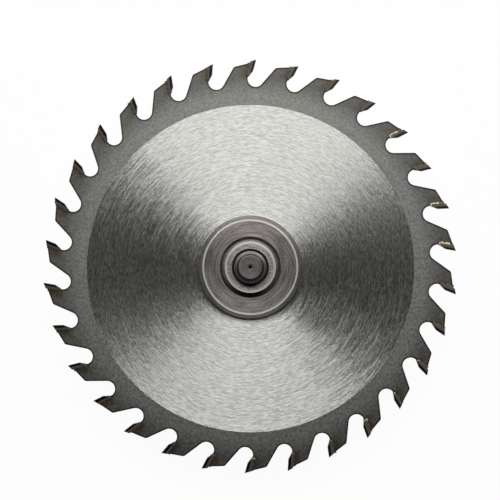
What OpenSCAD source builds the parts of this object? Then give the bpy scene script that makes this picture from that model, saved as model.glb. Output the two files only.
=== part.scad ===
// Carbide-tipped circular saw blade, clamped between two flanges on its saw spindle.
// The spindle stands on its rear end, its axis is Z and the front of the blade faces up.
// Seen from the front the teeth cut clockwise.

/* [Blade plate] */
// Diameter of the circle through the cutting points
blade_d = 185; // [165:1:210]
// Number of teeth, even so that left and right bevels alternate
tooth_count = 30; // [24:2:36]
// Thickness of the steel plate
plate_t = 1.6; // [1.2:0.1:1.9]
// Diameter of the arbor hole
bore_d = 16; // [12:0.5:20]
// Angle of the first cutting point from the X axis
first_tooth_angle = 4.4; // [0:0.1:12]

/* [Tooth form] */
// Depth of a gullet below the cutting circle
gullet_depth = 12.1; // [11:0.1:14]
// Radius of the round gullet
gullet_r = 3.55; // [2.8:0.05:4]
// Length of the steel land behind the tip
land_len = 7.3; // [5.5:0.1:8.5]
// Slope of the land below the tangent
land_angle = 15.5; // [10:0.5:20]
// Radius of the heel between the land and the tooth back
heel_r = 1.4; // [0.6:0.1:2]

/* [Carbide tip] */
// Width of the cut, across the two outer corners of a tip
kerf_w = 2.6; // [2.4:0.1:3.2]
// Thickness of a tip from its rake face to its seat
tip_t = 2.3; // [1.8:0.1:2.8]
// Length of a tip down its rake face to the seat floor
tip_len = 7.6; // [6.8:0.1:8.4]
// Length of the rake face above the lower bevel
rake_len = 5.1; // [3.8:0.1:6]
// Length of the tip's foot on the seat floor
foot_len = 1.2; // [0.8:0.1:1.6]
// Height of the tip above the land, along the seat
tip_proud = 0.75; // [0.4:0.05:1.2]
// Hook angle of the rake face
hook_angle = 14; // [8:1:18]
// Relief angle of the top face
top_relief = 17; // [10:1:20]
// Alternate bevel across the top face
top_bevel = 12; // [0:1:18]
// Side relief from the rake face back to the seat
side_relief = 3; // [0:0.5:4]
// Side relief from the cutting point down to the foot
foot_relief = 1.5; // [0:0.5:2]

/* [Clamp flanges] */
// Diameter of both clamp flanges
flange_d = 46; // [44:1:60]
// Thickness of the outer flange
outer_flange_t = 5; // [4:0.5:8]
// Thickness of the inner flange
inner_flange_t = 5; // [4:0.5:8]
// Height of the straight rim next to the blade
rim_h = 1.2; // [0.5:0.1:2]
// Width of the bevel between the rim and the flat face
rim_bevel = 1.8; // [1:0.1:3]
// Edge break between the bevel and the flat face
edge_break = 0.8; // [0.2:0.1:1.2]
// Width of the ring that presses on the blade
clamp_w = 7; // [4:0.5:9]
// Depth of the relief inside that ring
relief_depth = 0.4; // [0.2:0.1:0.8]
// Depth of the nut recess in the outer flange
recess_depth = 2; // [1:0.1:2.5]
// Gap between the nut and the recess wall
recess_gap = 2.2; // [1:0.1:3]

/* [Clamp nut] */
// Height of the nut
nut_h = 6; // [4.5:0.5:9]
// Wall of the nut between its thread and its outside
nut_wall = 3.3; // [2.6:0.1:4.5]
// Outer edge chamfer of the nut
nut_chamfer = 1; // [0.4:0.1:1.2]
// Chamfer at the nut's thread
thread_chamfer = 0.2; // [0.1:0.1:0.6]

/* [Spindle] */
// Diameter of the bearing journal behind the inner flange
journal_d = 25; // [23:0.5:32]
// Length of the bearing journal
journal_len = 13; // [10:0.5:24]
// Edge chamfer at the rear end
rear_chamfer = 1; // [0.5:0.1:1.5]
// Step from the thread down to the nose
nose_step = 0.8; // [0.4:0.1:1.2]
// Depth of that step below the nut's face
nose_sink = 2.6; // [1:0.1:4]
// Height of the nose above the nut's face
nose_rise = 4.2; // [2.5:0.1:6]
// Width of the chamfer round the nose
nose_chamfer = 2.2; // [1:0.1:2.4]
// Slope of that chamfer below the end face
nose_chamfer_angle = 30; // [15:1:50]
// Diameter of the centre drillings
centre_d = 1.25; // [1:0.05:1.6]
// Diameter of their countersinks
centre_sink_d = 2.65; // [2:0.05:3.5]
// Depth of the centre drillings
centre_depth = 3; // [2:0.1:5]

/* [Fits] */
// Radial clearance of plate, flanges and nut on the spindle
fit_gap = 0.03; // [0.01:0.01:0.1]

/* [Hidden] */
$fn = 96;
// Length by which a cutting shape runs past what it cuts
spare = 1;

// Levels up the spindle
plate_z = journal_len + inner_flange_t;
outer_flange_z = plate_z + plate_t;
nut_z = outer_flange_z + outer_flange_t - recess_depth;
nut_top_z = nut_z + nut_h;
spindle_top_z = nut_top_z + nose_rise;

// Radii about the spindle axis
bore_r = bore_d / 2;
spindle_r = bore_r - fit_gap;
nose_r = spindle_r - nose_step;
nut_r = bore_r + nut_wall;
recess_r = nut_r + recess_gap;
flange_r = flange_d / 2;
clamp_r = flange_r - clamp_w;
face_r = flange_r - rim_bevel;
journal_r = journal_d / 2;

// Centre drilling: the cone angles of its countersink and of its drill point
centre_sink_angle = 60;
centre_point_angle = 118;
centre_r = centre_d / 2;
centre_sink_r = centre_sink_d / 2;
centre_sink_h = (centre_sink_r - centre_r) / tan(centre_sink_angle / 2);
centre_point_h = centre_r / tan(centre_point_angle / 2);

// Tooth frame: Y runs out along the radius through the cutting point, X the way the tooth cuts.
cut_r = blade_d / 2;
pitch_angle = 360 / tooth_count;

// Point at an angle on a circle
function on_circle(centre, r, a) = centre + r * [cos(a), sin(a)];
// Point turned about the blade axis
function turned(p, a) = [p.x * cos(a) - p.y * sin(a), p.x * sin(a) + p.y * cos(a)];
// Point that lies s down the rake face and t back from it
function tip_point(s, t) = [
    -s * sin(hook_angle) - t * cos(hook_angle),
    cut_r - s * cos(hook_angle) + t * sin(hook_angle)
];

// The tip's seat: its top, its corner, and its floor running out into the gullet
gullet_centre = [0, cut_r - gullet_depth + gullet_r];
tip_back_s = tip_t * tan(hook_angle + top_relief);
land_start = tip_point(tip_back_s + tip_proud, tip_t);
seat_corner = tip_point(tip_len, tip_t);
seat_floor_end = tip_point(tip_len, (gullet_r - gullet_depth) * sin(hook_angle));

// The land falls to the heel, and the tooth back runs on as a tangent of the gullet behind it.
next_land_start = turned(land_start, -pitch_angle);
next_land_angle = land_angle - pitch_angle;
next_heel = on_circle(next_land_start, land_len, next_land_angle + 180);
heel_from_gullet = next_heel - gullet_centre;
back_foot_angle = atan2(heel_from_gullet.y, heel_from_gullet.x) - acos(gullet_r / norm(heel_from_gullet));
back_foot = on_circle(gullet_centre, gullet_r, back_foot_angle);
back_angle = back_foot_angle - 90;

// The heel is round: a circle that touches the land and the tooth back.
heel_half_angle = (next_land_angle - back_angle) / 2;
heel_reach = heel_r / tan(heel_half_angle);
heel_land_end = on_circle(next_heel, heel_reach, next_land_angle);
heel_back_end = on_circle(next_heel, heel_reach, back_angle);
heel_centre = on_circle(heel_land_end, heel_r, next_land_angle - 90);

// Height above the cutting circle where a straight edge from tooth to tooth clears the plate
clear_s = cut_r - cut_r / cos(pitch_angle) - spare;

// Side of the block that stands for the grinding wheel, longer than a tip both ways from its middle
grind_w = 4 * tip_len;

function tip_name(k) = str("tip_", k < 10 ? "0" : "", k);

// Places something drawn in the tooth frame at one of the teeth.
module at_tooth(k)
    rotate([0, 0, first_tooth_angle + (k - 1) * pitch_angle - 90])
        children();

// What is cut away from one tip's seat round the gullet and over the land to the next tip.
module gullet() {
    translate(gullet_centre)
        circle(gullet_r);
    polygon([
        gullet_centre,
        seat_floor_end,
        seat_corner,
        tip_point(clear_s, tip_t),
        turned(tip_point(clear_s, 0), -pitch_angle),
        next_land_start,
        heel_land_end,
        heel_back_end,
        back_foot
    ]);
}

module blade_plate()
    color([0.62, 0.63, 0.61])
        translate([0, 0, plate_z])
            linear_extrude(plate_t)
                difference() {
                    union() {
                        difference() {
                            circle(cut_r);
                            for (k = [1:tooth_count])
                                at_tooth(k)
                                    gullet();
                        }
                        for (k = [1:tooth_count])
                            at_tooth(k)
                                translate(heel_centre)
                                    circle(heel_r);
                    }
                    circle(bore_r);
                }

// Grinds one side of a tip, from its cutting corner back and down.
module side_grind()
    translate([0, 0, kerf_w / 2])
        rotate([foot_relief, -side_relief, 0])
            translate([-grind_w / 2, -grind_w / 2, 0])
                cube(grind_w);

// Grinds the top of a tip, falling back from the cutting edge and away from the high side.
module top_grind(high_side)
    translate([0, 0, high_side * kerf_w / 2])
        rotate([0, 0, hook_angle + top_relief])
            rotate([-high_side * top_bevel, 0, 0])
                translate([-grind_w / 2, 0, -grind_w / 2])
                    cube(grind_w);

// One tip, drawn with its cutting edge at the origin and its rake face along Y, then set in its seat.
module carbide_tip(k)
    color([0.27, 0.26, 0.25])
        at_tooth(k)
            translate([0, cut_r, plate_z + plate_t / 2])
                rotate([0, 0, -hook_angle])
                    difference() {
                        linear_extrude(kerf_w + 2 * spare, center = true)
                            polygon([
                                [0, spare],
                                [0, -rake_len],
                                [foot_len - tip_t, -tip_len],
                                [-tip_t, -tip_len],
                                [-tip_t, spare]
                            ]);
                        side_grind();
                        mirror([0, 0, 1])
                            side_grind();
                        top_grind(k % 2 == 0 ? 1 : -1);
                    }

module outer_flange()
    color([0.50, 0.48, 0.47])
        translate([0, 0, outer_flange_z])
            rotate_extrude()
                polygon([
                    [bore_r, relief_depth],
                    [clamp_r, relief_depth],
                    [clamp_r, 0],
                    [flange_r, 0],
                    [flange_r, rim_h],
                    [face_r, outer_flange_t - edge_break],
                    [face_r - edge_break, outer_flange_t],
                    [recess_r, outer_flange_t],
                    [recess_r, outer_flange_t - recess_depth],
                    [bore_r, outer_flange_t - recess_depth]
                ]);

module inner_flange()
    color([0.50, 0.48, 0.47])
        translate([0, 0, journal_len])
            rotate_extrude()
                polygon([
                    [bore_r, 0],
                    [face_r - edge_break, 0],
                    [face_r, edge_break],
                    [flange_r, inner_flange_t - rim_h],
                    [flange_r, inner_flange_t],
                    [clamp_r, inner_flange_t],
                    [clamp_r, inner_flange_t - relief_depth],
                    [bore_r, inner_flange_t - relief_depth]
                ]);

module clamp_nut()
    color([0.55, 0.54, 0.52])
        translate([0, 0, nut_z])
            rotate_extrude()
                polygon([
                    [bore_r + thread_chamfer, 0],
                    [nut_r, 0],
                    [nut_r, nut_h - nut_chamfer],
                    [nut_r - nut_chamfer, nut_h],
                    [bore_r + thread_chamfer, nut_h],
                    [bore_r, nut_h - thread_chamfer],
                    [bore_r, thread_chamfer]
                ]);

module spindle()
    color([0.40, 0.39, 0.41])
        rotate_extrude()
            polygon([
                [0, centre_depth + centre_point_h],
                [centre_r, centre_depth],
                [centre_r, centre_sink_h],
                [centre_sink_r, 0],
                [journal_r - rear_chamfer, 0],
                [journal_r, rear_chamfer],
                [journal_r, journal_len],
                [spindle_r, journal_len],
                [spindle_r, nut_top_z - nose_sink],
                [nose_r, nut_top_z - nose_sink],
                [nose_r, spindle_top_z - nose_chamfer * tan(nose_chamfer_angle)],
                [nose_r - nose_chamfer, spindle_top_z],
                [centre_sink_r, spindle_top_z],
                [centre_r, spindle_top_z - centre_sink_h],
                [centre_r, spindle_top_z - centre_depth],
                [0, spindle_top_z - centre_depth - centre_point_h]
            ]);

blade_plate();
for (k = [1:tooth_count])
    carbide_tip(k);
outer_flange();
inner_flange();
clamp_nut();
spindle();
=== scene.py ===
# %% [markdown]
# # A carbide-tipped saw blade, dressed for the camera
#
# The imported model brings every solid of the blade: the toothed plate, thirty tips, two flanges, a nut
# and the spindle. This lesson gives each of them the surface that its making leaves behind, adds the
# braze that holds the tips, and sets up the camera and the light. The frame is loaded first and is never
# moved.

# %% Load the frame
import math
import bpy
import bmesh
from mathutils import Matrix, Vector, noise


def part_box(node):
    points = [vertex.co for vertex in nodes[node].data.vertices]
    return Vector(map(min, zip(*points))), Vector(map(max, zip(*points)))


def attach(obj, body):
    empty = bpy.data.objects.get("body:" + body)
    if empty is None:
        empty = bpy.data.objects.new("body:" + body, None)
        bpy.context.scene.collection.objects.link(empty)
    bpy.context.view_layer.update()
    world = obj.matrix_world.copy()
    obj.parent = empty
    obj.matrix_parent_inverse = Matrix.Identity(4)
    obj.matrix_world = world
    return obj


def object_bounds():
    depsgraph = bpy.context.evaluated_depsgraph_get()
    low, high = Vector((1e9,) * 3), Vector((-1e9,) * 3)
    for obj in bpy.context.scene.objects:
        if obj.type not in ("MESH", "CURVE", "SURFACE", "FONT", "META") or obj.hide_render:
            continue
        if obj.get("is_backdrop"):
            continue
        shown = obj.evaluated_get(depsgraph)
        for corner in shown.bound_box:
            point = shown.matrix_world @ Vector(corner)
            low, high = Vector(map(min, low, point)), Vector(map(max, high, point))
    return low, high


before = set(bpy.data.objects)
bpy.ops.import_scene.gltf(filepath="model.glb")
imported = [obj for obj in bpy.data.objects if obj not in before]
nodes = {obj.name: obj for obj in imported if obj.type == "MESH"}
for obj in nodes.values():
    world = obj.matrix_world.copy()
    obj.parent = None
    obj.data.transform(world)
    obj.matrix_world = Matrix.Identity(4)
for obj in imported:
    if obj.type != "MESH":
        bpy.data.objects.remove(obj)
cad_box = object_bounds()
print("pieces in the frame:", len(nodes))

# %% [markdown]
# ## Sizes read from the frame
#
# A finish has to sit where the piece is, so its sizes come from the solids themselves. Blender works in
# metres, while a maker thinks in millimetres. Every size below is written in millimetres, and MM turns it
# into Blender's unit.

# %% Measure the pieces
MM = 0.001

plate_low, plate_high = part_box("blade_plate")
plate_bottom = plate_low.z / MM
plate_top = plate_high.z / MM
plate_middle = (plate_bottom + plate_top) / 2
nut_low, nut_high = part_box("clamp_nut")
nut_bottom = nut_low.z / MM
nut_radius = (nut_high.x - nut_low.x) / 2 / MM
tip_names = sorted(name for name in nodes if name.startswith("tip_"))
tip_low, tip_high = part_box(tip_names[0])
kerf = (tip_high.z - tip_low.z) / MM
tooth_count = len(tip_names)
pitch = 2 * math.pi / tooth_count


def farthest_point(node):
    return max((v.co for v in nodes[node].data.vertices), key=lambda p: math.hypot(p.x, p.y))


first_point = farthest_point(tip_names[0])
cut_radius = math.hypot(first_point.x, first_point.y) / MM
first_angle = math.atan2(first_point.y, first_point.x)
print(f"{tooth_count} teeth on a {2 * cut_radius:.1f} mm circle, {kerf:.2f} mm wide")
print(f"first tooth at {math.degrees(first_angle):.2f} deg")
print(f"plate from z = {plate_bottom:.2f} to {plate_top:.2f} mm, nut radius {nut_radius:.2f} mm")

# %% [markdown]
# ## The camera
#
# The photograph looks straight at the blade's face from a little over half a metre. A long lens at that
# distance keeps the circles round, and its slight perspective shows the walls of the hub. The blade sits
# low in the picture because the lens points a little above the spindle. So the camera is set off by that
# much, and it needs no shift.

# %% Place the camera
IMAGE_SIZE = 500
BLADE_CENTRE_PX = (250.31, 266.95)
MM_PER_PX = 0.44686
CAMERA_HEIGHT = 566
SENSOR = 36

camera_data = bpy.data.cameras.new("camera")
camera_data.sensor_width = SENSOR
camera_data.lens = SENSOR * CAMERA_HEIGHT / (IMAGE_SIZE * MM_PER_PX)
camera = bpy.data.objects.new("camera", camera_data)
camera.location = Vector((
    (IMAGE_SIZE / 2 - BLADE_CENTRE_PX[0]) * MM_PER_PX,
    (BLADE_CENTRE_PX[1] - IMAGE_SIZE / 2) * MM_PER_PX,
    plate_middle + CAMERA_HEIGHT,
)) * MM
bpy.context.scene.collection.objects.link(camera)
bpy.context.scene.camera = camera
bpy.context.scene.view_settings.view_transform = "Standard"
print(f"camera {CAMERA_HEIGHT} mm above the plate, lens {camera_data.lens:.1f} mm")

# %% [markdown]
# ## Helpers for materials
#
# Colours are picked as sRGB hex values, as a colour picker shows them, but a shader wants linear light.
# One function turns the one into the other. A second one adds a node, sets it up and links it, which
# keeps a material's recipe short enough to read: an input is a number, or the output of a node added
# before. Two settings come back in every recipe, so they have names: an eased step, and a mix of two
# colours.

# %% Helpers
SMOOTH = {"interpolation_type": "SMOOTHSTEP"}
COLOUR = {"data_type": "RGBA", "out": "Result"}


def linear(hex_colour, alpha=1.0):
    def channel(byte):
        c = byte / 255
        return c / 12.92 if c <= 0.04045 else ((c + 0.055) / 1.055) ** 2.4
    red, green, blue = bytes.fromhex(hex_colour.lstrip("#"))
    return (channel(red), channel(green), channel(blue), alpha)


def add(tree, kind, inputs=(), out=0, **settings):
    """Adds a node and gives one of its outputs. Inputs go by place in a list, or by name in a dict."""
    made = tree.nodes.new("ShaderNode" + kind)
    for name, value in settings.items():
        setattr(made, name, value)
    named = inputs.items() if isinstance(inputs, dict) else enumerate(inputs)
    for key, value in named:
        if isinstance(value, bpy.types.NodeSocket):
            tree.links.new(value, made.inputs[key])
        else:
            made.inputs[key].default_value = value
    return made.outputs[out] if made.outputs else made


def new_material(name):
    material = bpy.data.materials.new(name)
    material.use_nodes = True
    material.node_tree.nodes.clear()
    return material, material.node_tree


print("a mid grey of #808080 is", round(linear("#808080")[0], 3), "in linear light")

# %% [markdown]
# ## Floor and backdrop
#
# The picture has a plain white ground. A white sheet that curves up into a low wall does the same in a
# studio. The camera and the polished metal see it as white, and a thin share of plain paper keeps the
# blade's shadow. The wall is low, so only the chamfers mirror it, as thin bright lines.

# %% Build the sweep
FLOOR_RADIUS = 1600
SWEEP_RADIUS = 350
WALL_TOP = 400
SWEEP_STEPS = 12
ROUND_STEPS = 96
PAPER_SHARE = 0.05


def sweep_profile():
    points = [(0.0, 0.0), (FLOOR_RADIUS, 0.0)]
    for i in range(1, SWEEP_STEPS + 1):
        a = math.pi / 2 * i / SWEEP_STEPS
        points.append((FLOOR_RADIUS + SWEEP_RADIUS * math.sin(a), SWEEP_RADIUS * (1 - math.cos(a))))
    points.append((FLOOR_RADIUS + SWEEP_RADIUS, WALL_TOP))
    return points


def finished_mesh(name, mesh):
    """Turns a bmesh into smooth mesh data with its faces outward."""
    bmesh.ops.recalc_face_normals(mesh, faces=mesh.faces)
    data = bpy.data.meshes.new(name)
    mesh.to_mesh(data)
    mesh.free()
    for face in data.polygons:
        face.use_smooth = True
    return data


def turned_mesh(name, profile):
    mesh = bmesh.new()
    verts = [mesh.verts.new(Vector((r, 0, z)) * MM) for r, z in profile]
    edges = [mesh.edges.new(pair) for pair in zip(verts, verts[1:])]
    bmesh.ops.spin(mesh, geom=verts + edges, cent=(0, 0, 0), axis=(0, 0, 1), angle=2 * math.pi,
                   steps=ROUND_STEPS)
    bmesh.ops.remove_doubles(mesh, verts=mesh.verts, dist=1e-6)
    return finished_mesh(name, mesh)


sweep = bpy.data.objects.new("sweep", turned_mesh("sweep", sweep_profile()))
bpy.context.scene.collection.objects.link(sweep)
sweep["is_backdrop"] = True

# White paper: an even white that fades into nothing, with only a breath of shadow on it.
paper, tree = new_material("white_paper_sweep")
ray = add(tree, "LightPath").node.outputs
seen = add(tree, "Math", [ray["Is Camera Ray"], ray["Is Glossy Ray"]], operation="MAXIMUM")
seen = add(tree, "Math", [seen, ray["Is Transmission Ray"]], operation="MAXIMUM")
share = add(tree, "Math", [seen, 1 - PAPER_SHARE], operation="MULTIPLY")
white = add(tree, "Emission", {"Color": linear("#FFFFFF"), "Strength": 1.0})
matt = add(tree, "BsdfDiffuse", {"Color": linear("#F4F4F2")})
add(tree, "OutputMaterial", [add(tree, "MixShader", [share, matt, white])])
sweep.data.materials.append(paper)
print("sweep faces:", len(sweep.data.polygons))

# %% [markdown]
# ## Light
#
# Ground steel shows its surroundings. One large softbox leans over the top edge of the blade, a few
# degrees round to the right, and the rest of the room stays dim. Where the grinding marks run across the
# light they spread it into two bright fans, and where they point at it the steel stays dark. That is the
# bow-tie of light on any disc that was ground round and round.

# %% Hang the softbox
SOFTBOX_TILT = math.radians(36.5)
SOFTBOX_BEARING = math.radians(3)
SOFTBOX_DISTANCE = 1200
SOFTBOX_SIZE = (1670, 430)
SOFTBOX_WATTS = 18.7
ROOM_GREY = "#1B1B1E"

softbox_data = bpy.data.lights.new("softbox", "AREA")
softbox_data.shape = "RECTANGLE"
softbox_data.size = SOFTBOX_SIZE[0] * MM
softbox_data.size_y = SOFTBOX_SIZE[1] * MM
softbox_data.energy = SOFTBOX_WATTS
softbox = bpy.data.objects.new("softbox", softbox_data)
softbox.location = Vector((
    math.sin(SOFTBOX_TILT) * math.sin(SOFTBOX_BEARING),
    math.sin(SOFTBOX_TILT) * math.cos(SOFTBOX_BEARING),
    math.cos(SOFTBOX_TILT),
)) * SOFTBOX_DISTANCE * MM
softbox.rotation_euler = (-SOFTBOX_TILT, 0, -SOFTBOX_BEARING)
bpy.context.scene.collection.objects.link(softbox)

room = bpy.data.worlds.new("dim_room")
room.use_nodes = True
room.node_tree.nodes["Background"].inputs["Color"].default_value = linear(ROOM_GREY)
bpy.context.scene.world = room
radiance = SOFTBOX_WATTS / (math.pi * softbox_data.size * softbox_data.size_y)
print(f"softbox radiance: {radiance:.2f} times white")

# %% [markdown]
# ## Where a point lies on the blade
#
# The blade has no picture wrapped round it, so its patterns are drawn from plain coordinates. Three
# helpers give them: millimetres from the frame's origin, the place round a centre, and the place on a
# tooth. The last one folds all thirty teeth onto one, and hands back the tooth's number. So one recipe
# draws thirty teeth that still differ.

# %% Coordinates
HOOK_ANGLE = math.radians(14)
FOLD_BACK = pitch / 4


def place_in_mm(tree):
    metres = add(tree, "TexCoord", out="Object")
    return add(tree, "VectorMath", {0: metres, "Scale": 1 / MM}, operation="SCALE")


def place_round(tree, place, centre=(0.0, 0.0)):
    """The unit vector from a centre towards a point, flat in XY, and the distance."""
    offset = add(tree, "VectorMath", [place, (*centre, 0.0)], operation="SUBTRACT")
    flat = add(tree, "VectorMath", [offset, (1.0, 1.0, 0.0)], operation="MULTIPLY")
    radius = add(tree, "VectorMath", [flat], out="Value", operation="LENGTH")
    outward = add(tree, "VectorMath", [flat], operation="NORMALIZE")
    return outward, radius


def place_on_tooth(tree, place):
    """Millimetres down the tip's rake face, millimetres back from it, and the tooth's number."""
    xyz = add(tree, "SeparateXYZ", [place]).node.outputs
    angle = add(tree, "Math", [xyz["Y"], xyz["X"]], operation="ARCTAN2")
    turned = add(tree, "Math", [angle, first_angle - FOLD_BACK - 2 * math.pi], operation="SUBTRACT")
    teeth_on = add(tree, "Math", [turned, pitch], operation="DIVIDE")
    number = add(tree, "Math", [teeth_on], operation="FLOOR")
    behind = add(tree, "Math", [turned, pitch], operation="MODULO")
    behind = add(tree, "Math", [behind, FOLD_BACK], operation="SUBTRACT")
    _, radius = place_round(tree, place)
    across = add(tree, "Math", [behind], operation="SINE")
    across = add(tree, "Math", [across, radius], operation="MULTIPLY")
    up = add(tree, "Math", [behind], operation="COSINE")
    up = add(tree, "Math", [up, radius, -cut_radius], operation="MULTIPLY_ADD")
    from_point = add(tree, "CombineXYZ", [across, up, 0.0])
    down_way = (math.sin(HOOK_ANGLE), -math.cos(HOOK_ANGLE), 0.0)
    back_way = (math.cos(HOOK_ANGLE), math.sin(HOOK_ANGLE), 0.0)
    down_rake = add(tree, "VectorMath", [from_point, down_way], out="Value", operation="DOT_PRODUCT")
    behind_rake = add(tree, "VectorMath", [from_point, back_way], out="Value", operation="DOT_PRODUCT")
    return down_rake, behind_rake, number


print(f"teeth fold onto one every {math.degrees(pitch):.1f} deg")

# %% [markdown]
# ## Grinding and turning marks
#
# A grinding wheel and a turning tool both leave marks that run round. Here such a mark is noise that
# changes fast along the radius and slowly round the centre. On a wall the radius stands still, so the
# height is counted in as well. Marks round a centre that lies beside the spindle cross the others at a
# shallow angle, as the arcs of a cup wheel do. Grit cuts scratches of a few hundredths of a millimetre,
# and a lathe feeds a tenth or two a turn. Both are drawn coarser than that, or they wouldn't show.

# %% Marks that run round
STROKE = (10.0, 0.45)
CROSS_STROKE = (2.6, 0.5)
HEIGHT_SHARE = -0.8


def round_marks(tree, place, length, width, centre=(0.0, 0.0), seed=0.0, detail=1.0):
    """Noise from 0 to 1 in strokes of about this length and width in mm, round a centre."""
    _, radius = place_round(tree, place, centre)
    height = add(tree, "SeparateXYZ", [place], out="Z")
    profile = add(tree, "Math", [height, HEIGHT_SHARE, radius], operation="MULTIPLY_ADD")
    step = add(tree, "Math", [profile, 1 / width, seed], operation="MULTIPLY_ADD")
    along = add(tree, "VectorMath", [place, (1 / length, 1 / length, 0.0)], operation="MULTIPLY")
    where = add(tree, "VectorMath", [along, add(tree, "CombineXYZ", [0.0, 0.0, step])], operation="ADD")
    return add(tree, "TexNoise", {"Vector": where, "Scale": 1.0, "Detail": detail, "Roughness": 0.6})


print(f"a grinding stroke is {STROKE[0] / MM_PER_PX:.1f} by {STROKE[1] / MM_PER_PX:.1f} pixels")

# %% [markdown]
# ## The plate: hardened tool steel, ground in the middle
#
# The plate is cut from hardened sheet. A disc in the middle is ground bright, a little off the spindle's
# centre, and the rim keeps the grey of the heat treatment. Scratches could be painted on, but the light
# on them would then stand still. So the disc is strongly anisotropic: smooth along the marks and rough
# across them. The shader's tangent follows the marks, whose centre lies a little below the spindle, and
# the strokes nudge it this way and that. Noise keeps close to its middle value, so each pattern takes a
# narrow span round the middle and stretches it to the full contrast.

# %% Grinding strokes
MARK_CENTRE = (0.125, -3.3)
CROSS_CENTRES = ((11.0, 1.0), (-8.0, 6.0), (-3.0, -14.0))
# Four noises add up to about 2.
STROKE_SPAN = (1.55, 2.45)
SWAY = 0.6

plate_steel, tree = new_material("ground_tool_steel")
place = place_in_mm(tree)
fine = round_marks(tree, place, *STROKE, MARK_CENTRE, seed=3.0)
strokes = fine
for i, centre in enumerate(CROSS_CENTRES):
    cross = round_marks(tree, place, *CROSS_STROKE, centre, seed=11.0 + 13.0 * i)
    strokes = add(tree, "Math", [strokes, cross], operation="ADD")
strokes = add(tree, "MapRange", [strokes, *STROKE_SPAN], **SMOOTH)

from_marks, _ = place_round(tree, place, MARK_CENTRE)
around = add(tree, "VectorMath", [(0.0, 0.0, 1.0), from_marks], operation="CROSS_PRODUCT")
sway = add(tree, "Math", [fine, SWAY, -SWAY / 2], operation="MULTIPLY_ADD")
swayed = add(tree, "VectorMath", {0: from_marks, "Scale": sway}, operation="SCALE")
along_marks = add(tree, "VectorMath", [around, swayed], operation="ADD")
along_marks = add(tree, "VectorTransform", [along_marks], vector_type="VECTOR", convert_from="OBJECT",
                  convert_to="WORLD")
print("strokes run round", 1 + len(CROSS_CENTRES), "centres")

# %% Ground disc
GROUND_CENTRE = (0.125, -0.66)
GROUND_RADIUS = 73.03
BORDER_WAVE = 3.3
BORDER_RAGGED = 0.3
BORDER_FADE = 0.12
STROKE_DEPTH = 0.035
STEP_IN_STROKES = 3.0
GROUND_ROUGH = (0.47, 0.53)
# A quarter turn lays the rough direction across the marks.
ACROSS = 0.25

_, radius = place_round(tree, place, GROUND_CENTRE)
wave = add(tree, "TexNoise", {"Vector": place, "Scale": 1 / BORDER_WAVE, "Detail": 2.0})
border = add(tree, "Math", [wave, BORDER_RAGGED, radius], operation="MULTIPLY_ADD")
disc_edge = GROUND_RADIUS + BORDER_RAGGED / 2
in_disc = add(tree, "MapRange", [border, disc_edge + BORDER_FADE, disc_edge - BORDER_FADE], **SMOOTH)
relief = add(tree, "Math", [in_disc, -STEP_IN_STROKES, strokes], operation="MULTIPLY_ADD")

# Ground tool steel: two bright fans that swing round with the light, broken up by short crossing strokes.
colour = add(tree, "Mix", {"Factor": strokes, "A": linear("#B9BAB4"), "B": linear("#E6E7E2")}, **COLOUR)
ground = add(tree, "BsdfPrincipled", {
    "Base Color": colour,
    "Metallic": 1.0,
    "Roughness": add(tree, "MapRange", [strokes, 0.0, 1.0, *GROUND_ROUGH]),
    "Anisotropic": 0.91,
    "Anisotropic Rotation": ACROSS,
    "Tangent": along_marks,
    "Normal": add(tree, "Bump", {"Strength": 1.0, "Distance": STROKE_DEPTH * MM, "Height": relief}),
})
print(f"ground disc {2 * GROUND_RADIUS:.1f} mm across")

# %% [markdown]
# ### The grey rim
#
# Outside the disc the heat treatment leaves a matt grey with flecks of about a millimetre and clouds of
# about eight. The flecks also raise the surface a little, which keeps the grey from looking painted. The
# clouds only lean the grey to a cooler or a warmer side. Towards the teeth the grey gets darker, from the
# resin of the wood and from handling.

# %% Grey rim
FLECK = 1.1
FLECK_SPAN = (0.26, 0.74)
FLECK_HEIGHT = 0.03
CLOUD = 8.3
CLOUD_SPAN = (0.4, 0.6)
DARKER_FROM = 77.0
DARKEST_AT = 85.0

fleck = add(tree, "TexNoise", {"Vector": place, "Scale": 1 / FLECK, "Detail": 4.0, "Roughness": 0.65})
cloud = add(tree, "TexNoise", {"Vector": place, "Scale": 1 / CLOUD, "Detail": 3.0, "Roughness": 0.6})
pale = add(tree, "MapRange", [fleck, *FLECK_SPAN], **SMOOTH)
rim_colour = add(tree, "Mix", {"Factor": pale, "A": linear("#737370"), "B": linear("#959591")}, **COLOUR)
warm = add(tree, "MapRange", [cloud, *CLOUD_SPAN], **SMOOTH)
cast = add(tree, "Mix", {"Factor": warm, "A": linear("#FCFBFF"), "B": linear("#FFFFFA")}, **COLOUR)
rim_colour = add(tree, "Mix", {"Factor": 1.0, "A": rim_colour, "B": cast},
                 blend_type="MULTIPLY", **COLOUR)
resin = add(tree, "MapRange", [radius, DARKER_FROM, DARKEST_AT])
rim_colour = add(tree, "Mix", {"Factor": resin, "A": rim_colour, "B": linear("#C3C3C1")},
                 blend_type="MULTIPLY", **COLOUR)
print(f"rim flecks {FLECK} mm, clouds {CLOUD} mm")

# %% [markdown]
# ### Heat at the seats
#
# Brazing heats each tooth at the seat of its tip. The steel there turns brown, then straw, and is grey
# again within a few millimetres. Noise makes that border ragged, and the tooth's number draws how strong
# and how red it is, so that no two teeth match. The tint is drawn stronger on the teeth to the lower
# left.

# %% Heat tints
SEAT_BACK = 2.3
HEAT_REACH = 5.2
HEAT_CORE = 1.56
PATCH = 2.0
RAGGED = 7.0
TOOTH_ROOT = (7.0, 10.5)
BROWN_SIDE = (-0.7, -0.7, 0.0)
SIDE_SPAN = (-0.5, 0.5)
HEAT_STRENGTH = (0.35, 0.65)
HEAT_LUCK = 0.15

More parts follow.
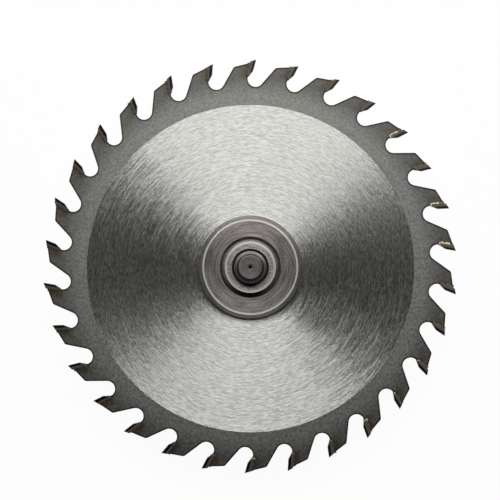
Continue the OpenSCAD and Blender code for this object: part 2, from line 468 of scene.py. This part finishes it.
down_rake, behind_rake, number = place_on_tooth(tree, place)
luck = add(tree, "TexWhiteNoise", {"W": number}, noise_dimensions="1D")
patch = add(tree, "TexNoise", {"Vector": place, "Scale": 1 / PATCH, "Detail": 3.0, "Roughness": 0.6})
ragged = add(tree, "Math", [patch, RAGGED, behind_rake], operation="MULTIPLY_ADD")
from_seat = add(tree, "Math", [ragged, SEAT_BACK + RAGGED / 2], operation="SUBTRACT")
heat = add(tree, "MapRange", [from_seat, HEAT_REACH, HEAT_CORE], **SMOOTH)
on_tooth = add(tree, "MapRange", [down_rake, TOOTH_ROOT[1], TOOTH_ROOT[0]], **SMOOTH)
heat = add(tree, "Math", [heat, on_tooth], operation="MULTIPLY")
outward, _ = place_round(tree, place)
side = add(tree, "VectorMath", [outward, BROWN_SIDE], out="Value", operation="DOT_PRODUCT")
strength = add(tree, "MapRange", [side, *SIDE_SPAN, *HEAT_STRENGTH], **SMOOTH)
strength = add(tree, "Math", [luck, HEAT_LUCK, strength], operation="MULTIPLY_ADD")
heat = add(tree, "Math", [heat, strength], operation="MULTIPLY")

tint = add(tree, "ValToRGB", [add(tree, "MapRange", [from_seat, 0.0, HEAT_REACH])])
ramp = tint.node.color_ramp
ramp.elements[0].color = linear("#3A3024")
ramp.elements[1].color = linear("#6A625E")
ramp.elements.new(0.45).color = linear("#574938")
cast = add(tree, "Mix", {"Factor": luck, "A": linear("#FFEAE0"), "B": linear("#F2F4D8")}, **COLOUR)
tint = add(tree, "Mix", {"Factor": 1.0, "A": tint, "B": cast}, blend_type="MULTIPLY", **COLOUR)
rim_colour = add(tree, "Mix", {"Factor": heat, "A": rim_colour, "B": tint}, **COLOUR)
print(f"heat reaches {HEAT_REACH} mm behind the seat")

# %% [markdown]
# ### Dark edges
#
# The cut walls keep a dark oxide. The edge beside them and a band along the land behind each tip are
# darkened with painted shade, as a rounded edge looks dark. A Bevel node finds the edge: it bends the
# normal near a corner, so the bend tells how near the corner is. The land is a straight line on the
# folded tooth, so a distance from it finds it.

# %% Dark edges
TIP_PROUD = 0.75
TOP_RELIEF = math.radians(17)
LAND_ANGLE = math.radians(15.5)
EDGE_RADIUS = 1.5
EDGE_BEND = (0.9998, 0.98)
WALL_SLOPE = (0.8, 0.3)
LAND_SHADE_FADE = (1.3, 0.6)
LAND_SHADE_RAGGED = 0.8
LAND_SHADE_COVER = 0.75
NOISE_SPAN = (0.3, 0.7)
RIM_ROUGH = (0.50, 0.58)
land_start = SEAT_BACK * math.tan(HOOK_ANGLE + TOP_RELIEF) + TIP_PROUD
land_slope = math.tan(HOOK_ANGLE + LAND_ANGLE)

# Painted shade: a band along the land behind each tip is darkened.
under_land = add(tree, "Math", [behind_rake, -land_slope, down_rake], operation="MULTIPLY_ADD")
under_land = add(tree, "Math", [under_land, land_start - SEAT_BACK * land_slope], operation="SUBTRACT")
uneven = add(tree, "Math", [fleck, LAND_SHADE_RAGGED, under_land], operation="MULTIPLY_ADD")
land_shade = add(tree, "MapRange", [uneven, *LAND_SHADE_FADE, 0.0, LAND_SHADE_COVER], **SMOOTH)

# Painted shade: the colour darkens near every edge, where the Bevel node bends the normal.
facing = add(tree, "NewGeometry", out="True Normal")
bent = add(tree, "Bevel", {"Radius": EDGE_RADIUS * MM}, samples=8)
bend = add(tree, "VectorMath", [bent, facing], out="Value", operation="DOT_PRODUCT")
edge = add(tree, "MapRange", [bend, *EDGE_BEND], **SMOOTH)
upright = add(tree, "Math", [add(tree, "SeparateXYZ", [facing], out="Z")], operation="ABSOLUTE")
cut_wall = add(tree, "MapRange", [upright, *WALL_SLOPE], **SMOOTH)
for dark in (cut_wall, land_shade):
    edge = add(tree, "Math", [edge, dark], operation="MAXIMUM")
rim_colour = add(tree, "Mix", {"Factor": edge, "A": rim_colour, "B": linear("#34322E")}, **COLOUR)

# Heat-treated steel: a soft grey without mirror images, browned at the tips, with dark oxide on the cut
# walls and painted shade along its edges and lands.
rim = add(tree, "BsdfPrincipled", {
    "Base Color": rim_colour,
    "Metallic": 1.0,
    "Roughness": add(tree, "MapRange", [fleck, *NOISE_SPAN, *RIM_ROUGH], **SMOOTH),
    "Normal": add(tree, "Bump", {"Strength": 0.2, "Distance": FLECK_HEIGHT * MM, "Height": fleck}),
})
add(tree, "OutputMaterial", [add(tree, "MixShader", [in_disc, rim, ground])])
nodes["blade_plate"].data.materials[0] = plate_steel
print("plate:", plate_steel.name, len(tree.nodes), "nodes")

# %% [markdown]
# ## The tips: sintered tungsten carbide, ground with diamond
#
# Carbide is pressed and sintered, brazed on and then ground to size. The ground band next to the cutting
# edge is fine enough to mirror the dim room, so it looks nearly black. Behind it the sides keep a duller,
# browner skin whose oxide hides about half of the metal, and along the seat the flux of the brazing
# leaves a dark seam. The grain of carbide is a few thousandths of a millimetre and a diamond wheel's
# marks a few hundredths, so both are drawn far coarser.

# %% Carbide
GROUND_BAND = 1.1
BAND_RAGGED = 0.5
BAND_LUCK = 0.4
SKIN_SPAN = (GROUND_BAND + 0.35, GROUND_BAND + 0.6)
SKIN_METAL = 0.5
CARBIDE_ROUGH = (0.28, 0.45)
SEAM_RAGGED = 0.3
SEAM_SPAN = (SEAT_BACK - 0.2, SEAT_BACK + 0.15)
GRAIN = 0.33
WHEEL_MARK = 0.5
WHEEL_DEPTH = 0.02
WAVE_PERIOD = 2 * math.pi / 20

# Ground carbide: a dark, smooth grey that only flashes along its edges, with a dull brown skin behind.
carbide, tree = new_material("ground_tungsten_carbide")
place = place_in_mm(tree)
down_rake, behind_rake, number = place_on_tooth(tree, place)
luck = add(tree, "TexWhiteNoise", {"W": number}, noise_dimensions="1D")
grain = add(tree, "TexNoise", {"Vector": place, "Scale": 1 / GRAIN, "Detail": 4.0, "Roughness": 0.7})
ragged = add(tree, "Math", [grain, BAND_RAGGED, behind_rake], operation="MULTIPLY_ADD")
ragged = add(tree, "Math", [luck, BAND_LUCK, ragged], operation="MULTIPLY_ADD")
skin = add(tree, "MapRange", [ragged, *SKIN_SPAN], **SMOOTH)
ragged = add(tree, "Math", [grain, SEAM_RAGGED, behind_rake], operation="MULTIPLY_ADD")
seam = add(tree, "MapRange", [ragged, *SEAM_SPAN], **SMOOTH)
dull = add(tree, "Mix", {"Factor": grain, "A": linear("#34302B"), "B": linear("#6E675D")}, **COLOUR)
colour = add(tree, "Mix", {"Factor": skin, "A": linear("#43413E"), "B": dull}, **COLOUR)
colour = add(tree, "Mix", {"Factor": seam, "A": colour, "B": linear("#3F372E")}, **COLOUR)
# A wave texture's own period is WAVE_PERIOD at a scale of 1.
wheel = add(tree, "TexWave", {
    "Vector": add(tree, "CombineXYZ", [down_rake, grain, 0.0]),
    "Scale": WAVE_PERIOD / WHEEL_MARK,
    "Distortion": 3.0,
    "Detail": 2.0,
}, out="Fac")
add(tree, "OutputMaterial", [add(tree, "BsdfPrincipled", {
    "Base Color": colour,
    "Metallic": add(tree, "MapRange", [skin, 0.0, 1.0, 1.0, SKIN_METAL]),
    "Roughness": add(tree, "MapRange", [skin, 0.0, 1.0, *CARBIDE_ROUGH]),
    "Normal": add(tree, "Bump", {"Strength": 0.3, "Distance": WHEEL_DEPTH * MM, "Height": wheel}),
})])
for name in tip_names:
    nodes[name].data.materials[0] = carbide
print("tips:", len(tip_names), "of", carbide.name)

# %% [markdown]
# ## Flanges, nut and spindle: turned steel
#
# These are lathe work, so their marks run round and the tangent is the direction round the axis. Chamfers
# are cut last and stay fresher, and the way their normal leans tells where they are. Painted shade darkens
# the corner of the recess round the nut, the centre hole and two rings of the nose. Ambient occlusion
# could find such corners, but it darkens the whole recess, so each ring is given by its radii.

# %% Turned steel
TURNED_LENGTH = 9.0
SPECKLE = 0.7
TONE_SPAN = (0.35, 0.65)
GROOVE_DEPTH = 0.02
SLOPE_FADE = 0.06
NEARLY_FLAT = (0.86, 0.76)
ROUGH_SPREAD = 0.05
RING_FADE = 0.3
HEIGHT_FADE = 1.0
PAINTED_SHADE_COLOUR = "#1E1A18"


def turned_steel(name, dark, light, fresh, roughness, anisotropic, groove, grooved=0.25,
                 fresh_rough=0.36, steepest=0.66, shaded_rings=()):
    """Lathe-turned steel with grooves this many mm apart, and a fine speckle that hides part of them.

    Chamfers are a fresher cut, found by how far their normal points up the axis, from the steepest one
    to nearly flat. Each ring of painted shade is (inner radius, outer radius, lowest height, cover), the
    first three in mm.
    """
    material, tree = new_material(name)
    place = place_in_mm(tree)
    feed = round_marks(tree, place, TURNED_LENGTH, groove, seed=5.0, detail=2.0)
    speckle = add(tree, "TexNoise", {
        "Vector": place,
        "Scale": 1 / SPECKLE,
        "Detail": 3.0,
        "Roughness": 0.6,
    })
    tone = add(tree, "Mix", {"Factor": grooved, "A": speckle, "B": feed}, data_type="FLOAT")
    tone = add(tree, "MapRange", [tone, *TONE_SPAN], **SMOOTH)
    colour = add(tree, "Mix", {"Factor": tone, "A": linear(dark), "B": linear(light)}, **COLOUR)

    facing = add(tree, "NewGeometry", out="True Normal")
    upward = add(tree, "Math", [add(tree, "SeparateXYZ", [facing], out="Z")], operation="ABSOLUTE")
    sloped = add(tree, "MapRange", [upward, steepest - SLOPE_FADE, steepest], **SMOOTH)
    not_flat = add(tree, "MapRange", [upward, *NEARLY_FLAT], **SMOOTH)
    chamfer = add(tree, "Math", [sloped, not_flat], operation="MULTIPLY")
    colour = add(tree, "Mix", {"Factor": chamfer, "A": colour, "B": linear(fresh)}, **COLOUR)

    _, radius = place_round(tree, place)
    height = add(tree, "SeparateXYZ", [place], out="Z")
    # Painted shade: each ring darkens the colour towards near-black between its radii and above its
    # height.
    for inner, outer, lowest, cover in shaded_rings:
        outside = add(tree, "MapRange", [radius, inner, inner + RING_FADE], **SMOOTH)
        inside = add(tree, "MapRange", [radius, outer, outer - RING_FADE], **SMOOTH)
        above = add(tree, "MapRange", [height, lowest, lowest + HEIGHT_FADE, 0.0, cover], **SMOOTH)
        ring = add(tree, "Math", [outside, inside], operation="MULTIPLY")
        ring = add(tree, "Math", [ring, above], operation="MULTIPLY")
        colour = add(tree, "Mix", {"Factor": ring, "A": colour, "B": linear(PAINTED_SHADE_COLOUR)}, **COLOUR)

    smoothest = roughness - ROUGH_SPREAD
    roughest = roughness + ROUGH_SPREAD
    rough = add(tree, "MapRange", [feed, *NOISE_SPAN, smoothest, roughest], **SMOOTH)
    rough = add(tree, "Mix", {"Factor": chamfer, "A": rough, "B": fresh_rough}, data_type="FLOAT")
    add(tree, "OutputMaterial", [add(tree, "BsdfPrincipled", {
        "Base Color": colour,
        "Metallic": 1.0,
        "Roughness": rough,
        "Anisotropic": anisotropic,
        "Anisotropic Rotation": ACROSS,
        "Tangent": add(tree, "Tangent", direction_type="RADIAL", axis="Z"),
        "Normal": add(tree, "Bump", {"Strength": 0.2, "Distance": GROOVE_DEPTH * MM, "Height": feed}),
    })])
    return material


# %% Flange, nut and spindle
# Each ring of painted shade as inner radius, outer radius and lowest height in mm, and how well it covers.
RECESS_PAINTED_SHADE = ((nut_radius + 0.8, nut_radius + 2.4, nut_bottom - 1, 0.5),)
NOSE_PAINTED_SHADE = (
    (-RING_FADE, 1.35, nut_bottom, 0.4),
    (5.0, 6.2, nut_bottom, 0.75),
    (7.0, 8.5, nut_bottom, 0.75),
)

# Browned steel: a warm mid grey whose fine grooves draw faint fans of light, with bright chamfer lines and
# painted shade in the corner of the recess.
flange_steel = turned_steel("browned_turned_steel", "#7A7572", "#A59F9B", "#DCD8D4", 0.48, 0.42, 0.7,
                            grooved=0.55, fresh_rough=0.28, shaded_rings=RECESS_PAINTED_SHADE)
# Pale steel: a light, speckled ring that stands out from the flange.
nut_steel = turned_steel("pale_turned_steel", "#7A7671", "#C4C0BB", "#D2CEC9", 0.52, 0.2, 0.3)
# Spindle steel: an even, hard grey with a matt chamfer and rings of painted shade.
spindle_steel = turned_steel("grey_spindle_steel", "#6A6665", "#868180", "#B0ACA9", 0.48, 0.1, 0.6,
                             grooved=0.6, fresh_rough=0.75, steepest=0.46, shaded_rings=NOSE_PAINTED_SHADE)
for name, steel in (("outer_flange", flange_steel), ("inner_flange", flange_steel),
                    ("clamp_nut", nut_steel), ("spindle", spindle_steel)):
    nodes[name].data.materials[0] = steel
    print(name, "in", steel.name)

# %% [markdown]
# ## The braze
#
# A silver-bearing braze runs into the gap between tip and seat and stands out as a small fillet all round
# the seam: along the seat on one side of the plate, over the land, and back along the other side. It could
# be painted on, but it is thick enough to catch the light, so each tooth gets a bead of its own. The bead
# is swept along the seam with two directions at each point, one along the steel and one up the carbide.

# %% The seam that a bead follows
SEAT_LENGTH = 7.6
TIP_FOOT = 1.1
FOOT_STEPS = 6
CORNER_STEPS = 4
SEAT_STEPS = 15
LAND_STEPS = 4


def on_blade(tooth, down, back, height):
    """The point in metres that lies this far down the rake face and back from it, in mm, at a tooth."""
    x = -down * math.sin(HOOK_ANGLE) - back * math.cos(HOOK_ANGLE)
    y = cut_radius - down * math.cos(HOOK_ANGLE) + back * math.sin(HOOK_ANGLE)
    turn = first_angle + tooth * pitch - math.pi / 2
    return Vector((
        x * math.cos(turn) - y * math.sin(turn),
        x * math.sin(turn) + y * math.cos(turn),
        height,
    )) * MM


def seam_stations():
    """Places as (down, back, height, way along the steel, way up the carbide), heights from mid-plate."""
    half = (plate_top - plate_bottom) / 2
    out = (0, 0, 1)
    back_way = (0, 1, 0)
    seam = []
    for i in range(FOOT_STEPS + 1):
        back = TIP_FOOT + (SEAT_BACK - TIP_FOOT) * i / FOOT_STEPS
        seam.append((SEAT_LENGTH, back, half, (1, 0, 0), out))
    for i in range(1, CORNER_STEPS):
        a = math.pi / 2 * i / CORNER_STEPS
        seam.append((SEAT_LENGTH, SEAT_BACK, half, (math.cos(a), math.sin(a), 0), out))
    for i in range(SEAT_STEPS + 1):
        down = SEAT_LENGTH + (land_start - SEAT_LENGTH) * i / SEAT_STEPS
        seam.append((down, SEAT_BACK, half, back_way, out))
    for i in range(1, CORNER_STEPS):
        a = math.pi / 2 * i / CORNER_STEPS
        seam.append((land_start, SEAT_BACK, half, back_way, (-math.sin(a), 0, math.cos(a))))
    for i in range(LAND_STEPS + 1):
        seam.append((land_start, SEAT_BACK, half * (1 - i / LAND_STEPS), back_way, (-1, 0, 0)))
    far_side = [
        (down, back, -height, steel, (rise[0], rise[1], -rise[2]))
        for down, back, height, steel, rise in reversed(seam[:-1])
    ]
    return seam + far_side


print("stations along a seam:", len(seam_stations()))

# %% [markdown]
# ### The beads
#
# Molten braze pulls into a hollow fillet, lumpy where there was more of it. So the section is a hollow
# curve that is sunk a little into both pieces, and noise makes its size wander along the seam. On a few
# teeth a crust of flux was left. Its place is stored on the bead's points, where the material can read it.

# %% Shape of a bead
HOLLOW = 1.6
SECTION_STEPS = 4
SINK = 0.04
LUMP = 1.1
LUMP_SHIFT = Vector((7.3, 0.0, 3.1))
RIPPLE = 0.37
RIPPLE_SHIFT = Vector((1.7, 40.0, 0.0))
RIPPLE_SHARE = 0.6


def bead_section(foot, rise):
    """The outline as (along the steel, up the carbide): hollow outside, sunk into both pieces inside."""
    section = []
    for i in range(SECTION_STEPS + 1):
        f = i / SECTION_STEPS
        section.append((foot * (1 - f) ** HOLLOW - SINK * f, rise * f ** HOLLOW - SINK * (1 - f)))
    return section + [(-SINK, -SINK)]


def bead_wander(tooth, down, back, height):
    """How far the molten metal strayed here, about -1 to 1, different on each tooth."""
    spot = Vector((down, back, height))
    lumps = noise.noise(spot / LUMP + tooth * LUMP_SHIFT)
    ripples = noise.noise(spot / RIPPLE + tooth * RIPPLE_SHIFT)
    return lumps + RIPPLE_SHARE * ripples


print("points round a bead:", len(bead_section(1, 1)))

# %% Sweep the beads
FILLET_FOOT = 0.8
FILLET_RISE = 0.34
LOWEST_RISE = 0.08
LAND_BEAD = 0.25
SMALLEST = 0.2
WANDER = 1.2
CRUST_SWELL = 0.5
END_SIZE = 0.25
END_GROWTH = 10
SIDE_RELIEF = math.radians(3)
TAIL_RELIEF = math.radians(1.5)
# The crust starts this far down the rake face, in mm, by tooth.
CRUST_FROM = {0: 3.0, 1: 4.5, 3: 3.5, 22: 7.0, 25: 7.2, 26: 6.6, 27: 6.2}


def braze_bead(tooth):
    mesh = bmesh.new()
    crust_layer = mesh.verts.layers.float.new("crust")
    stations = seam_stations()
    rings = []
    for i, (down, back, height, steel, rise_way) in enumerate(stations):
        on_side = abs(rise_way[2])
        wander = bead_wander(tooth, down, back, height)
        crust = min(1.0, max(0.0, down - CRUST_FROM.get(tooth, SEAT_LENGTH + 1) + wander))
        from_end = min(i, len(stations) - 1 - i) / (len(stations) - 1)
        size = max(SMALLEST, 1.0 + WANDER * wander + CRUST_SWELL * crust)
        size *= min(1.0, END_SIZE + END_GROWTH * from_end)
        size *= LAND_BEAD + (1 - LAND_BEAD) * on_side
        proud = kerf / 2 - abs(height) - back * math.tan(SIDE_RELIEF) - down * math.tan(TAIL_RELIEF)
        rise = FILLET_RISE * size
        if on_side:
            rise = min(rise, max(LOWEST_RISE, proud))
        ring = []
        for along, up in bead_section(FILLET_FOOT * size, rise):
            spot = [base + s * along + c * up for base, s, c in zip((down, back, height), steel, rise_way)]
            vert = mesh.verts.new(on_blade(tooth, spot[0], spot[1], plate_middle + spot[2]))
            vert[crust_layer] = crust
            ring.append(vert)
        rings.append(ring)
    for one, two in zip(rings, rings[1:]):
        for j in range(len(one)):
            k = (j + 1) % len(one)
            mesh.faces.new((one[j], one[k], two[k], two[j]))
    mesh.faces.new(reversed(rings[0]))
    mesh.faces.new(rings[-1])
    return finished_mesh(f"braze_{tooth + 1:02d}", mesh)


beads = []
for tooth in range(tooth_count):
    bead = bpy.data.objects.new(f"braze_{tooth + 1:02d}", braze_bead(tooth))
    bpy.context.scene.collection.objects.link(bead)
    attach(bead, "root")
    beads.append(bead)
print("beads:", len(beads), "with", len(beads[0].data.polygons), "faces each")

# %% [markdown]
# ### Braze alloy
#
# Silver-bearing brass is yellow when fresh, but the heat and the flux turn it a blotched dark brown, with
# an oxide that hides about a third of the metal. The flux crust is a glass and no metal, so the same
# material fades to not metallic where the points of the bead say that there is crust.

# %% Braze alloy
BLOTCH = 0.83
BLOTCH_HEIGHT = 0.05
BROKEN_SPAN = (0.62, 0.5)
BRAZE_METAL = 0.65
BRAZE_ROUGH = (0.48, 0.64)

# Burnt braze: a dull brown seam that catches small glints, with a pale, chalky crust here and there.
braze_alloy, tree = new_material("silver_brass_braze")
place = place_in_mm(tree)
blotch = add(tree, "TexNoise", {"Vector": place, "Scale": 1 / BLOTCH, "Detail": 4.0, "Roughness": 0.7})
broken = add(tree, "MapRange", [blotch, *BROKEN_SPAN], **SMOOTH)
crust = add(tree, "Attribute", out="Fac", attribute_name="crust")
crust = add(tree, "Math", [crust, broken], operation="MULTIPLY")
colour = add(tree, "Mix", {"Factor": blotch, "A": linear("#39322A"), "B": linear("#70654F")}, **COLOUR)
colour = add(tree, "Mix", {"Factor": crust, "A": colour, "B": linear("#D9CFB2")}, **COLOUR)
add(tree, "OutputMaterial", [add(tree, "BsdfPrincipled", {
    "Base Color": colour,
    "Metallic": add(tree, "MapRange", [crust, 0.0, 1.0, BRAZE_METAL, 0.0]),
    "Roughness": add(tree, "MapRange", [blotch, *NOISE_SPAN, *BRAZE_ROUGH], **SMOOTH),
    "Normal": add(tree, "Bump", {"Strength": 0.4, "Distance": BLOTCH_HEIGHT * MM, "Height": blotch}),
})])
for bead in beads:
    bead.data.materials.append(braze_alloy)
print("beads in", braze_alloy.name)

# %% [markdown]
# ## Sizes
#
# The dressed blade must not outgrow its solids, because others fit their own parts to them. So the box of
# the bare frame and the box of the dressed one are kept side by side.

# %% Compare the boxes
visual_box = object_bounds()
growth = [max(abs(a - b) for a, b in zip(c, v)) / MM for c, v in zip(cad_box, visual_box)]
print(f"the dressed blade differs from its solids by {max(growth):.3f} mm")
